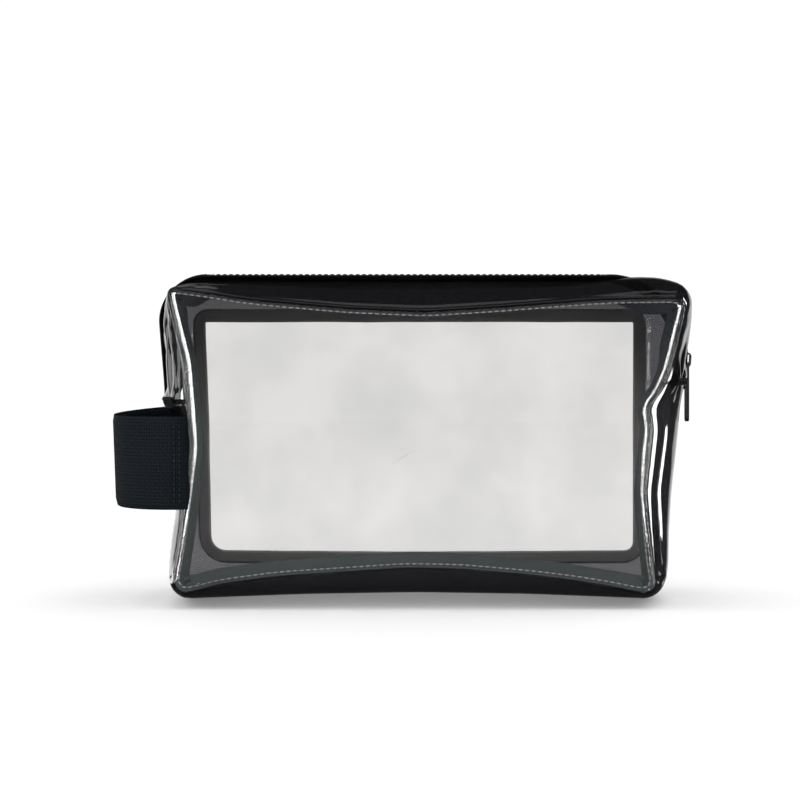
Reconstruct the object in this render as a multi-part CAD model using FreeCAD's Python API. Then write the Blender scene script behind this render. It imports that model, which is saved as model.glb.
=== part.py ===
"""A clear boxy makeup bag, in millimetres.

+X runs along the bag towards the closed end of its zipper, +Y from the front panel to the back
panel, and +Z up. The origin is the middle of the flat base that the bag stands on.

Seen from the front, the bag is a rounded quadrilateral whose right end leans out at the top. A
film wall follows that outline from the front panel to the back panel. Below the two end tabs the
wall is one U-shaped gusset. Above them it is two strips with the zipper between them. A webbing
loop stands off the left end as the handle.
"""
import FreeCAD, Part

import math
import os

from FreeCAD import Vector

# The bag as a whole.
HEIGHT = 133.0
DEPTH = 78.0
FOOT_LEFT, FOOT_RIGHT = -103.5, 100.0
TOP_LEFT, TOP_RIGHT = -108.5, 110.2
FOOT_RADIUS = 14.0
TOP_LEFT_RADIUS = 16.0
TURN_RADIUS = 31.7  # where the zipper turns from the right end onto the top
EDGE_RADIUS = 9.0  # of the wall where it meets the front and back panels
FILM = 0.5
LEAST_RADIUS = 1.5  # of a corner drawn inside the outline

# The two joints between gusset and zipper strips, and the tabs that cover them.
JOINT_LEFT_Z, JOINT_RIGHT_Z = 82.0, 90.0
TAB_HEIGHT = 6.0
TAB_THICKNESS = 0.8
TAB_HALF_WIDTH = 29.5

# Binding tape and threads.
BINDING_WIDTH = 6.0
BINDING_THICKNESS = 1.2
BINDING_CLEAR = 0.8  # from the panel's edge to the binding, along the panel
THREAD = 0.5
THREAD_PROUD = 0.35
SEAM_THREAD_INSET = 3.8  # from the panel's edge
ZIP_THREAD_Y = 10.0

# Zipper, measured from the middle of its chain across the bag, and in depth from the outline.
STRIP_EDGE_Y = 7.0
TAPE_INNER_Y, TAPE_OUTER_Y = 1.0, 16.0
TAPE_THICKNESS = 0.6
COIL_INNER_Y, COIL_OUTER_Y = 0.5, 3.2
COIL_PROUD = 0.7
COIL_END_CLEAR = 1.0  # between the end tabs and the coils
TAPE_TOP = FILM + 0.05

# Slider, with its length along the zipper. Its wide end has the divider and faces the end tab.
SLIDER_LENGTH, SLIDER_WIDE, SLIDER_NARROW = 11.0, 10.4, 8.6
SLIDER_CORNER = 1.2
PLATE = 0.8
OUTER_CLEAR, INNER_CLEAR = 0.25, 0.9
FLANGE_WIDTH, FLANGE_DEPTH = 0.7, 0.7
DIVIDER_LENGTH, DIVIDER_WIDTH = 3.0, 0.7
CROWN_LENGTH, CROWN_WIDTH, CROWN_BAR, CROWN_GAP = 6.2, 1.6, 0.8, 1.7

# Pull tab. Its hinge is low in the crown, where its weight takes it.
PULL_HINGE_DROP = 1.4  # from the slider's middle
PULL_DROP = 24.2  # from the hinge to the tab's end
PULL_WIDTH, PULL_THICKNESS, PULL_BAR = 5.2, 1.1, 1.0
PULL_EYE_LENGTH, PULL_EYE_WIDTH = 6.0, 2.6
PULL_END_RADIUS, PULL_TOP_RADIUS = 1.8, 0.9

# Handle. It leans with the left end, and its back end is sewn in a little higher.
WEBBING_WIDTH, WEBBING_THICKNESS = 36.5, 1.5
HANDLE_MIDDLE_Z = 58.7
HANDLE_LEAVE_ANGLE = 20.0  # how far the webbing follows the bag's edge before it stands off
HANDLE_RISE = 5.0
TACK_ANGLES = (4.0, 12.0)
TACK_MARGIN = 3.0

FAR = 400.0
CLOSE = 1e-4  # lengths nearer than this are equal
Y = Vector(0, 1, 0)
FRONT, BACK = -1, 1


def corners(inset):
    """The outline's four corners, moved in by inset, with their radii: foot left, foot right,
    top right, top left."""
    base = [
        Vector(FOOT_LEFT, 0, 0),
        Vector(FOOT_RIGHT, 0, 0),
        Vector(TOP_RIGHT, 0, HEIGHT),
        Vector(TOP_LEFT, 0, HEIGHT),
    ]
    lines = []
    for i, start in enumerate(base):
        along = (base[(i + 1) % 4] - start).normalize()
        inward = Vector(-along.z, 0, along.x)
        lines.append((start + inward * inset, along))
    radii = [FOOT_RADIUS, FOOT_RADIUS, TURN_RADIUS, TOP_LEFT_RADIUS]
    found = []
    for i in range(4):
        (p, u), (q, v) = lines[i - 1], lines[i]
        gap = q - p
        reach = (gap.x * v.z - gap.z * v.x) / (u.x * v.z - u.z * v.x)
        found.append((p + u * reach, max(radii[i] - inset, LEAST_RADIUS)))
    return found


def rounded(points):
    """A closed wire of straight runs joined by tangent arcs. points holds (corner, radius)."""
    ends = []
    for i, (corner, radius) in enumerate(points):
        back = (points[i - 1][0] - corner).normalize()
        on = (points[(i + 1) % len(points)][0] - corner).normalize()
        half = back.getAngle(on) / 2
        reach = radius / math.tan(half)
        middle = (back + on).normalize()
        crown = corner + middle * (radius / math.sin(half) - radius)
        ends.append((corner + back * reach, crown, corner + on * reach))
    edges = []
    for i, (enter, crown, leave) in enumerate(ends):
        edges.append(Part.Arc(enter, crown, leave).toShape())
        edges.append(Part.LineSegment(leave, ends[(i + 1) % len(ends)][0]).toShape())
    return Part.Wire(edges)


def prism(inset, y_low, y_high):
    """The outline, moved in by inset, run across the bag."""
    face = Part.Face(rounded(corners(inset)))
    face.translate(Vector(0, y_low, 0))
    return face.extrude(Vector(0, y_high - y_low, 0))


def band(outer, inner, y_low, y_high):
    """A layer of wall between two insets of the outline."""
    return prism(outer, y_low, y_high).cut(prism(inner, y_low, y_high))


def round_edged(inset):
    """The outline run across the bag, with its front and back edges rounded."""
    side = DEPTH / 2 - inset
    solid = prism(inset, -side, side)
    edges = [e for e in solid.Edges if abs(abs(e.BoundBox.YMin) - side) < CLOSE and e.BoundBox.YLength < CLOSE]
    return solid.makeFillet(EDGE_RADIUS - inset, edges)


def joint_z(x):
    """Height of the line that joins the two end tabs, at x."""
    share = (x - FOOT_LEFT) / (FOOT_RIGHT - FOOT_LEFT)
    return JOINT_LEFT_Z + share * (JOINT_RIGHT_Z - JOINT_LEFT_Z)


def slab(low, high):
    """The space between two lines parallel to the joint line, low and high above it."""
    ends = (-FAR, FAR)
    points = [Vector(x, -FAR, joint_z(x) + low) for x in ends]
    points += [Vector(x, -FAR, joint_z(x) + high) for x in reversed(ends)]
    return Part.Face(Part.makePolygon(points + points[:1])).extrude(Vector(0, 2 * FAR, 0))


def right_side():
    """Direction up the right end, and how far it leans out, in degrees."""
    up = Vector(TOP_RIGHT - FOOT_RIGHT, 0, HEIGHT).normalize()
    return up, math.degrees(math.atan2(up.x, up.z))


def turn():
    """Where the zipper starts its turn onto the top, and the centre of that turn."""
    up, _ = right_side()
    corner, radius = corners(0)[2]
    reach = radius / math.tan(math.radians(90 - right_side()[1]) / 2)
    start = corner - up * reach
    return start, start - Vector(up.z, 0, -up.x) * radius


def placed(solid):
    """Moves a solid from the slider's own frame (+Z along the zipper, +X out of the bag, origin
    on the outline) to its place at the closed end."""
    solid.rotate(Vector(0, 0, 0), Y, right_side()[1])
    solid.translate(turn()[0])
    return solid


def pull_axis():
    """Where the pull tab hinges: in the space under the crown."""
    up, _ = right_side()
    out = Vector(up.z, 0, -up.x)
    return turn()[0] + out * (outer_face() + PLATE + CROWN_GAP / 2) - up * PULL_HINGE_DROP


def outer_face():
    """Height of the slider's outer plate above the outline."""
    return COIL_PROUD + OUTER_CLEAR


def inner_face():
    """Height of the slider's inner plate below the outline."""
    return TAPE_TOP + TAPE_THICKNESS + INNER_CLEAR


def box(x, y, z):
    """A block from three (low, high) pairs."""
    low = Vector(x[0], y[0], z[0])
    return Part.makeBox(x[1] - x[0], y[1] - y[0], z[1] - z[0], low)


def both_sides(side, low, high):
    """(low, high) across the bag for the front or back half, from distances off its middle."""
    return tuple(sorted((side * low, side * high)))


# Film.


def panel(side):
    outside, inside = DEPTH / 2, DEPTH / 2 - FILM
    return prism(EDGE_RADIUS, *both_sides(side, inside, outside))


def wall():
    shell = round_edged(0).cut(round_edged(FILM))
    return shell.cut(prism(EDGE_RADIUS, -DEPTH, DEPTH))


def lower_gusset():
    return wall().common(slab(-FAR, 0))


def zipper_strip(side):
    half = box((-FAR, FAR), both_sides(side, STRIP_EDGE_Y, DEPTH), (0, FAR))
    return wall().common(slab(0, FAR)).common(half)


# Tape, binding and thread.


def binding(side):
    inset = EDGE_RADIUS + BINDING_CLEAR
    face = DEPTH / 2 - FILM
    return band(inset, inset + BINDING_WIDTH, *both_sides(side, face - BINDING_THICKNESS, face))


def seam_thread(side):
    inset = EDGE_RADIUS + SEAM_THREAD_INSET
    return band(inset, inset + THREAD, *both_sides(side, DEPTH / 2, DEPTH / 2 + THREAD_PROUD))


def zipper_thread(side):
    ring = band(-THREAD_PROUD, 0, *both_sides(side, ZIP_THREAD_Y, ZIP_THREAD_Y + THREAD))
    return ring.common(slab(TAB_HEIGHT / 2, FAR))


def end_tab(end):
    ring = band(-TAB_THICKNESS, 0, -TAB_HALF_WIDTH, TAB_HALF_WIDTH)
    half = box(tuple(sorted((0, end * FAR))), (-DEPTH, DEPTH), (0, FAR))
    return ring.common(slab(-TAB_HEIGHT / 2, TAB_HEIGHT / 2)).common(half)


# Zipper chain.


def zipper_tape(side):
    layer = band(TAPE_TOP, TAPE_TOP + TAPE_THICKNESS, *both_sides(side, TAPE_INNER_Y, TAPE_OUTER_Y))
    return layer.common(slab(-TAB_HEIGHT / 2, FAR))


def zipper_coil(side):
    layer = band(-COIL_PROUD, TAPE_TOP, *both_sides(side, COIL_INNER_Y, COIL_OUTER_Y))
    return layer.common(slab(TAB_HEIGHT / 2 + COIL_END_CLEAR, FAR))


# Slider, in its own frame until it is placed.


def slider_plate(x_low, x_high):
    """One of the slider's tapered layers, with rounded corners."""
    half = SLIDER_LENGTH / 2
    ends = [(-half, SLIDER_WIDE / 2), (half, SLIDER_NARROW / 2)]
    points = [Vector(x_low, y, z) for z, y in ends]
    points += [Vector(x_low, -y, z) for z, y in reversed(ends)]
    face = Part.Face(rounded([(p, SLIDER_CORNER) for p in points]))
    return face.extrude(Vector(x_high - x_low, 0, 0))


def slider_throat(x_low, x_high):
    """The tapered channel between the flanges, run out past both of the slider's ends."""
    half = SLIDER_LENGTH / 2
    taper = (SLIDER_WIDE - SLIDER_NARROW) / 2 / SLIDER_LENGTH
    middle = (SLIDER_WIDE + SLIDER_NARROW) / 4 - FLANGE_WIDTH
    reach = 2 * half
    ends = [(-reach, middle + taper * reach), (reach, middle - taper * reach)]
    points = [Vector(x_low, y, z) for z, y in ends]
    points += [Vector(x_low, -y, z) for z, y in reversed(ends)]
    return Part.Face(Part.makePolygon(points + points[:1])).extrude(Vector(x_high - x_low, 0, 0))


def slider_body():
    outer, inner = outer_face(), inner_face()
    body = slider_plate(outer - FLANGE_DEPTH, outer + PLATE)
    body = body.cut(slider_throat(outer - FLANGE_DEPTH, outer))
    body = body.fuse(slider_plate(-inner - PLATE, -inner))
    half = SLIDER_LENGTH / 2
    across = (-DIVIDER_WIDTH / 2, DIVIDER_WIDTH / 2)
    divider = box((-inner, outer), across, (SLIDER_CORNER - half, SLIDER_CORNER + DIVIDER_LENGTH - half))
    return placed(body.fuse(divider).removeSplitter())


def slider_crown():
    foot = outer_face() + PLATE
    half = CROWN_LENGTH / 2
    across = (-CROWN_WIDTH / 2, CROWN_WIDTH / 2)
    arch = box((foot, foot + CROWN_GAP + CROWN_BAR), across, (-half, half))
    window = box((foot, foot + CROWN_GAP), across, (CROWN_BAR - half, half - CROWN_BAR))
    top = foot + CROWN_GAP + CROWN_BAR
    shoulders = [e for e in arch.Edges if e.BoundBox.XMin > top - CLOSE and e.BoundBox.ZLength < CLOSE]
    return placed(arch.makeFillet(CROWN_GAP, shoulders).cut(window))


def pull_tab():
    half, thick = PULL_WIDTH / 2, PULL_THICKNESS / 2
    top = PULL_BAR / 2
    corner_radii = [(1, -PULL_DROP, PULL_END_RADIUS), (1, top, PULL_TOP_RADIUS)]
    corner_radii += [(-1, z, r) for _, z, r in reversed(corner_radii)]
    outline = rounded([(Vector(-thick, side * half, z), r) for side, z, r in corner_radii])
    tab = Part.Face(outline).extrude(Vector(PULL_THICKNESS, 0, 0))
    eye_half = PULL_EYE_WIDTH / 2
    tab = tab.cut(box((-thick, thick), (-eye_half, eye_half), (-top - PULL_EYE_LENGTH, -top)))
    tab.translate(pull_axis())
    return tab


# Handle, drawn at the height of its middle and then leaned.


def handle_edge():
    """Centre of the bag's rounded front left edge, at the handle's height."""
    lean = (TOP_LEFT - FOOT_LEFT) / HEIGHT
    middle = FOOT_LEFT + lean * HANDLE_MIDDLE_Z
    return Vector(middle + EDGE_RADIUS, EDGE_RADIUS - DEPTH / 2, HANDLE_MIDDLE_Z)


def leaned(shape):
    """Shears the handle's pieces along the left end, and lifts them towards the back."""
    lean = (TOP_LEFT - FOOT_LEFT) / HEIGHT
    rise = HANDLE_RISE / DEPTH
    shear = FreeCAD.Matrix()
    shear.A13, shear.A14 = lean, -lean * HANDLE_MIDDLE_Z
    shear.A32 = rise
    return shape.transformGeometry(shear)


def handle_webbing():
    """Webbing that follows the bag's two left edges for a few degrees, and then stands off in one
    wide arc."""
    edge = handle_edge()
    hug = EDGE_RADIUS + WEBBING_THICKNESS / 2
    angle = math.radians(HANDLE_LEAVE_ANGLE)
    out = Vector(-math.sin(angle), -math.cos(angle), 0)
    half_out = Vector(-math.sin(angle / 2), -math.cos(angle / 2), 0)
    leave = edge + out * hug
    bow = -leave.y / math.cos(angle)
    bow_centre = leave - out * bow

    def line(offset):
        """One face of the webbing seen from above: front, bow and back arcs."""
        front = [edge - Y * (hug + offset), edge + half_out * (hug + offset), edge + out * (hug + offset)]
        back = [Vector(p.x, -p.y, p.z) for p in reversed(front)]
        bow_middle = bow_centre - Vector(bow + offset, 0, 0)
        return [front, [front[2], bow_middle, back[0]], back]

    outer, inner = line(WEBBING_THICKNESS / 2), line(-WEBBING_THICKNESS / 2)
    edges = [Part.Arc(*arc).toShape() for arc in outer + inner]
    edges.append(Part.LineSegment(outer[0][0], inner[0][0]).toShape())
    edges.append(Part.LineSegment(outer[2][2], inner[2][2]).toShape())
    face = Part.Face(Part.Wire(Part.sortEdges(edges)[0]))
    face.translate(Vector(0, 0, -WEBBING_WIDTH / 2))
    return leaned(face.extrude(Vector(0, 0, WEBBING_WIDTH)))


def handle_tack(side):
    """Upright rows of thread through one end of the webbing."""
    edge = handle_edge()
    height = WEBBING_WIDTH / 2 - TACK_MARGIN
    rows = []
    for degrees in TACK_ANGLES:
        row = box((-THREAD / 2, THREAD / 2), (-THREAD_PROUD, 0), (-height, height))
        row.translate(Vector(edge.x, edge.y - EDGE_RADIUS - WEBBING_THICKNESS, edge.z))
        row.rotate(edge, Vector(0, 0, 1), -degrees)
        rows.append(row)
    tack = Part.makeCompound(rows)
    if side == BACK:
        tack = tack.mirror(Vector(0, 0, 0), Y)
    return leaned(tack)


def parts():
    """Every piece of the bag by its node's name."""
    made = {
        "lower_gusset": lower_gusset(),
        "end_tab_left": end_tab(-1),
        "end_tab_right": end_tab(1),
        "handle_webbing": handle_webbing(),
        "slider_body": slider_body(),
        "slider_crown": slider_crown(),
        "pull_tab": pull_tab(),
    }
    for name, side in (("front", FRONT), ("back", BACK)):
        made[name + "_panel"] = panel(side)
        made[name + "_binding"] = binding(side)
        made[name + "_seam_thread"] = seam_thread(side)
        made["handle_tack_" + name] = handle_tack(side)
        made["zipper_strip_" + name] = zipper_strip(side)
        made["zipper_tape_" + name] = zipper_tape(side)
        made["zipper_coil_" + name] = zipper_coil(side)
        made["zipper_thread_" + name] = zipper_thread(side)
    return made


def main():
    os.makedirs("parts", exist_ok=True)
    for name, shape in sorted(parts().items()):
        volume = sum(s.Volume for s in shape.Solids)
        print(f"{name}: {len(shape.Solids)} solid, {volume:.1f} mm3, valid {shape.isValid()}")
        shape.exportStep(f"parts/{name}.step")
    start, centre = turn()
    hinge = pull_axis()
    print("slider at", [round(v, 3) for v in start], "turns about", [round(v, 3) for v in centre])
    print("turn angle", round(90 + right_side()[1], 3), "pull hinge", [round(v, 3) for v in hinge])


main()
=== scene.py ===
import math

import bpy
import numpy as np
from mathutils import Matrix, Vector, noise


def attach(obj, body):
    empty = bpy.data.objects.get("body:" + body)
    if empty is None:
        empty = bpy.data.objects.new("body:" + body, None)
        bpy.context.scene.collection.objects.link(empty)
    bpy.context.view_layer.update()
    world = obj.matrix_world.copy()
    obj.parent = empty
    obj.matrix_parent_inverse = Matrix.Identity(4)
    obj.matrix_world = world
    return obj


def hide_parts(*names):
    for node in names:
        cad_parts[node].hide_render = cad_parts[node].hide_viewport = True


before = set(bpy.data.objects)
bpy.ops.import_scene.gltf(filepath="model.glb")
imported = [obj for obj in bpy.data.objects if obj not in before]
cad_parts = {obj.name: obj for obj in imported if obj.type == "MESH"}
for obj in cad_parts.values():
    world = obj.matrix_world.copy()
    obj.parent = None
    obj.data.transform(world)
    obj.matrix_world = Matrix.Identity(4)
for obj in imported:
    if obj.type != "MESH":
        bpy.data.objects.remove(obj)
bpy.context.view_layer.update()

MM = 0.001
BAG = "bag"
FRONT, BACK = -1, 1
WALL_NAMES = {FRONT: "front", BACK: "back"}
ACROSS = np.array([0.0, 1.0, 0.0])

# ------------------------------------------------------------------------------------------
# Sizes, in metres. Loops round the bag are given by their four corners seen from the front:
# foot left, foot right, top right, top left.
# ------------------------------------------------------------------------------------------

FOOT_LEFT, FOOT_RIGHT = -103.5 * MM, 100.0 * MM
TOP_LEFT, TOP_RIGHT = -108.5 * MM, 110.2 * MM
HEIGHT = 133.0 * MM
SIDE_STEPS, CORNER_STEPS = 72, 28
CORNERS = 4
TOP_RIGHT_CORNER = 2

# The sides of each loop pull in from the straight: pairs of a share of the side's length and
# millimetres, for the foot from the left, the right side from the foot, the top from the right and
# the left side from the top.
OUTLINE = [(FOOT_LEFT, 0.0), (FOOT_RIGHT, 0.0), (TOP_RIGHT, HEIGHT), (TOP_LEFT, HEIGHT)]
CREST_RADII = [9 * MM, 10 * MM, 31.7 * MM, 19 * MM]
CREST_PULLS = [
    [(0, 0), (0.25, 1.6), (0.5, 2.3), (0.75, 1.6), (1, 0)],
    [(0, 0), (1, 0)],
    [(0, 0), (1, 0)],
    [
        (0, 0), (0.21, 1.0), (0.3, 1.2), (0.34, 2.4), (0.38, 4.6), (0.42, 4.8), (0.5, 2.8), (0.6, 1.0),
        (0.8, 0), (1, 0),
    ],
]

FRONT_SEAM = [
    (-98.0 * MM, 6.5 * MM), (90.0 * MM, 6.5 * MM), (102.5 * MM, 121.8 * MM), (-100.6 * MM, 125.6 * MM),
]
FRONT_SEAM_RADII = [5 * MM, 5 * MM, 4 * MM, 3 * MM]
FRONT_SEAM_PULLS = [
    [
        (0, 0), (0.07, 3.4), (0.2, 6.5), (0.48, 9.8), (0.6, 9.4), (0.76, 6.9), (0.85, 4.9), (0.93, 2.6),
        (1, 0),
    ],
    [
        (0, 0), (0.05, 2), (0.23, 6.1), (0.32, 7.8), (0.56, 7.8), (0.63, 10.4), (0.69, 6.4), (0.76, 3.8),
        (0.84, 2.2), (0.92, 1.2), (1, 0),
    ],
    [
        (0, 0), (0.11, 0.6), (0.17, 1.4), (0.36, 5), (0.5, 7.2), (0.66, 6.4), (0.82, 4.2), (0.88, 3.1),
        (0.92, 1.8), (1, 0),
    ],
    [
        (0, 0), (0.13, 2.9), (0.23, 5.4), (0.36, 6.3), (0.53, 7.5), (0.63, 6.5), (0.72, 5.5), (0.88, 2.6),
        (1, 0),
    ],
]
BACK_SEAM = [
    (-97.6 * MM, 10.6 * MM), (98.0 * MM, 10.6 * MM), (98.2 * MM, 121.6 * MM), (-100.5 * MM, 121.6 * MM),
]
BACK_SEAM_RADII = [12 * MM, 9 * MM, 6 * MM, 6 * MM]
BACK_SEAM_PULLS = [[(0, 0), (0.5, pull), (1, 0)] for pull in (-0.6, 0.0, 0.0, 0.4)]
# Where the seams lie beside the end tabs: heights at the right and at the left.
SEAM_TAB_HEIGHTS = {FRONT: (88.0 * MM, 80.5 * MM), BACK: (90.0 * MM, 82.0 * MM)}
SEAM_Y = 38.0 * MM

FILM = 0.5 * MM
ZIP_EDGE_Y = 7.0 * MM
TAB_HALF_WIDTH = 29.5 * MM
JOINT_RIGHT_Z, JOINT_LEFT_Z = 90.0 * MM, 82.0 * MM

PI = math.pi


# ------------------------------------------------------------------------------------------
# Finishes
# ------------------------------------------------------------------------------------------


class Wire:
    """A socket of a finish, on which sums can be written."""

    def __init__(self, finish, socket):
        self.finish = finish
        self.socket = socket

    def __add__(self, other):
        return self.finish.sum("ADD", self, other)

    def __sub__(self, other):
        return self.finish.sum("SUBTRACT", self, other)

    def __rsub__(self, other):
        return self.finish.sum("SUBTRACT", other, self)

    def __mul__(self, other):
        return self.finish.sum("MULTIPLY", self, other)

    def __pow__(self, other):
        return self.finish.sum("POWER", self, other)

    def __gt__(self, other):
        return self.finish.sum("GREATER_THAN", self, other)

    __radd__ = __add__
    __rmul__ = __mul__

    def sine(self):
        return self.finish.sum("SINE", self)

    def size(self):
        return self.finish.sum("ABSOLUTE", self)


class Finish:
    """A material, or the studio's surroundings, being put together from nodes."""

    def __init__(self, owner):
        self.owner = owner
        owner.use_nodes = True
        self.tree = owner.node_tree
        self.tree.nodes.clear()

    def node(self, kind, settings=None, inputs=None, output=0):
        made = self.tree.nodes.new(kind)
        for key, value in (settings or {}).items():
            if key == "stops":
                ramp_stops(made.color_ramp, value)
            else:
                setattr(made, key, value)
        for key, value in (inputs or {}).items():
            if isinstance(value, Wire):
                self.tree.links.new(value.socket, made.inputs[key])
            else:
                made.inputs[key].default_value = value
        return Wire(self, made.outputs[output]) if made.outputs else None

    def sum(self, operation, *terms):
        return self.node("ShaderNodeMath", {"operation": operation}, dict(enumerate(terms)))

    def place(self):
        """Where a point lies on its piece, in metres along and across it."""
        mapped = self.node("ShaderNodeUVMap", {"uv_map": "cloth"})
        along = self.node("ShaderNodeSeparateXYZ", {}, {0: mapped}, "X")
        across = self.node("ShaderNodeSeparateXYZ", {}, {0: mapped}, "Y")
        return along, across

    def at(self):
        """Where a point lies on the bag, in metres."""
        return self.node("ShaderNodeTexCoord", {}, {}, "Object")

    def eased(self, value, low, high, top=1.0):
        """0 where the value is at low, rising evenly to top where it is at high."""
        return self.node("ShaderNodeMapRange", {}, {0: value, 1: low, 2: high, 3: 0.0, 4: top})

    def noise(self, size, detail=3.0):
        """Cloudy variation, from 0 to 1, with patches of about that size in metres."""
        return self.node("ShaderNodeTexNoise", {}, {"Vector": self.at(), "Scale": 1 / size, "Detail": detail})

    def ramp(self, factor, *stops):
        return self.node("ShaderNodeValToRGB", {"stops": stops}, {0: factor})

    def blend(self, factor, first, second):
        values = {0: factor, 6: first, 7: second}
        return self.node("ShaderNodeMix", {"data_type": "RGBA"}, values, 2)

    def bump(self, height, depth, strength=1.0, under=None):
        values = {"Height": height, "Distance": depth, "Strength": strength}
        if under is not None:
            values["Normal"] = under
        return self.node("ShaderNodeBump", {}, values)

    def principled(self, **sockets):
        named = {key.replace("_", " "): value for key, value in sockets.items()}
        return self.node("ShaderNodeBsdfPrincipled", {}, named)

    def mix(self, factor, first, second):
        return self.node("ShaderNodeMixShader", {}, {0: factor, 1: first, 2: second})

    def finished(self, surface):
        self.node("ShaderNodeOutputMaterial", {}, {"Surface": surface})
        return self.owner


def ramp_stops(ramp, stops):
    while len(ramp.elements) > 1:
        ramp.elements.remove(ramp.elements[-1])
    ramp.elements[0].position, ramp.elements[0].color = stops[0]
    for position, colour in stops[1:]:
        ramp.elements.new(position).color = colour


def grey(value, warmth=0.0):
    """A grey, a little warm or a little blue."""
    return (value * (1 + warmth), value, value * (1 - warmth), 1.0)


FRESNEL_POWER = 5.0
INSIDE_SHINE = 0.2  # of the outside's


def film_finish(name, tint, clouded_tint, haze_colour, haze, ripple, shine_ahead):
    """Flexible film. Straight on it lets its tint through, in soft clouds, and towards its edges it
    shines. It shines less on the side that faces the inside of the bag."""
    finish = Finish(bpy.data.materials.new(name))
    waves = finish.noise(26 * MM, 2.0)
    scuffs = finish.noise(3 * MM, 4.0)
    normal = finish.bump(waves, ripple)
    middle = (0, 0, HEIGHT / 2)
    from_middle = finish.node("ShaderNodeVectorMath", {"operation": "SUBTRACT"}, {0: finish.at(), 1: middle})
    towards = finish.node("ShaderNodeNewGeometry", {}, {}, "True Normal")
    ends = {0: towards, 1: from_middle}
    out = finish.node("ShaderNodeVectorMath", {"operation": "DOT_PRODUCT"}, ends, "Value")
    facing = finish.node("ShaderNodeLayerWeight", {}, {"Blend": 0.5}, "Facing")
    shine = facing ** FRESNEL_POWER * (1 - shine_ahead) + shine_ahead
    shine = shine * (INSIDE_SHINE + (out > 0.0) * (1 - INSIDE_SHINE))
    through = finish.mix(
        finish.eased(finish.noise(38 * MM), 0.4, 0.62),
        finish.node("ShaderNodeBsdfTransparent", {}, {"Color": tint}),
        finish.node("ShaderNodeBsdfTransparent", {}, {"Color": clouded_tint}),
    )
    cloud = finish.principled(Base_Color=haze_colour, Roughness=0.5, Normal=normal)
    cloudy = finish.mix(haze + waves * (haze * 0.8), through, cloud)
    surface = {"Roughness": 0.035 + scuffs * 0.05, "Normal": normal}
    gloss = finish.node("ShaderNodeBsdfAnisotropic", {"distribution": "GGX"}, surface)
    return finish.finished(finish.mix(shine, cloudy, gloss))


def clear_film():
    tint, clouded_tint = grey(0.937, 0.004), grey(0.907, 0.001)
    return film_finish("clear_pvc", tint, clouded_tint, grey(0.7), 0.004, 0.5 * MM, 0.022)


def smoke_film(name, tint):
    clouded_tint = tuple(0.96 * part for part in tint)
    return film_finish(name, tint, clouded_tint, grey(0.01), 0.04, 0.4 * MM, 0.045)


# Heights between which the cloth turns to its lighter colour towards the foot: painted light.
PAINTED_LIGHT_FULL_Z, PAINTED_LIGHT_START_Z = 70 * MM, 110 * MM


def woven(name, dark, light, warp, weft, depth, painted_light_colour=None):
    """Plain-woven cloth. warp and weft are the widths of its lengthwise and crosswise yarns. Towards the foot
    it turns to a lighter colour: painted light, for the light seen through the bag low down."""
    finish = Finish(bpy.data.materials.new(name))
    along, across = finish.place()
    weft_wave = (along * (PI / weft)).sine()
    warp_wave = (across * (PI / warp)).sine()
    over = weft_wave * warp_wave > 0.0
    height = over * warp_wave.size() + (1 - over) * weft_wave.size()
    fuzz = finish.noise(0.5 * MM)
    wear = finish.noise(14 * MM)
    # The hollows between the yarns are painted darker than their crowns: painted shade. Fuzz and wear add
    # tone that differs at random.
    hollow_shade_and_tone = height * 0.75 + fuzz * 0.35 + wear * 0.3 - 0.2
    colour = finish.ramp(hollow_shade_and_tone, (0.1, dark), (0.95, light))
    # Painted light: the colour turns lighter towards the foot.
    if painted_light_colour:
        z = finish.node("ShaderNodeSeparateXYZ", {}, {0: finish.at()}, "Z")
        colour = finish.blend(finish.eased(z, PAINTED_LIGHT_START_Z, PAINTED_LIGHT_FULL_Z, 0.85), colour, painted_light_colour)
    normal = finish.bump(height, depth, 0.9)
    normal = finish.bump(fuzz, depth * 0.5, 0.5, normal)
    surface = finish.principled(
        Base_Color=colour, Roughness=0.75 + fuzz * 0.2, Normal=normal, Specular_IOR_Level=0.03
    )
    return finish.finished(surface)


def thread_finish(name, dark, light):
    """Twisted thread."""
    finish = Finish(bpy.data.materials.new(name))
    along, across = finish.place()
    twist = ((along * (2 * PI / (0.9 * MM))) + (across * (2 * PI / (1.2 * MM)))).sine()
    # The grooves of the twist are painted darker: painted shade, with tone that differs at random along the
    # thread.
    hollow_shade_and_tone = twist * 0.35 + finish.noise(6 * MM) * 0.5 + 0.25
    colour = finish.ramp(hollow_shade_and_tone, (0.1, dark), (0.9, light))
    normal = finish.bump(twist, 0.06 * MM)
    surface = finish.principled(Base_Color=colour, Roughness=0.55, Normal=normal, Specular_IOR_Level=0.1)
    return finish.finished(surface)


def nylon_finish():
    finish = Finish(bpy.data.materials.new("zipper_nylon"))
    patch = finish.noise(2 * MM)
    colour = finish.ramp(patch, (0.2, grey(0.006)), (0.9, grey(0.022)))
    normal = finish.bump(finish.noise(0.4 * MM), 0.03 * MM)
    surface = finish.principled(Base_Color=colour, Roughness=0.3 + patch * 0.15, Normal=normal)
    return finish.finished(surface)


def gunmetal_finish():
    """Dark plating with fine scratches, rubbed brighter in places."""
    finish = Finish(bpy.data.materials.new("gunmetal_plating"))
    stretched = finish.node("ShaderNodeMapping", {}, {"Vector": finish.at(), "Scale": (2600, 900, 300)})
    scratches = finish.node("ShaderNodeTexNoise", {}, {"Vector": stretched, "Scale": 1.0, "Detail": 4.0})
    rubbed = finish.noise(2.5 * MM, 4.0)
    colour = finish.ramp(rubbed, (0.3, grey(0.05, 0.02)), (0.75, grey(0.15, 0.03)))
    normal = finish.bump(scratches, 0.02 * MM, 0.6)
    surface = finish.principled(
        Base_Color=colour, Metallic=0.95, Roughness=0.24 + scratches * 0.16, Normal=normal
    )
    return finish.finished(surface)


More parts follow.
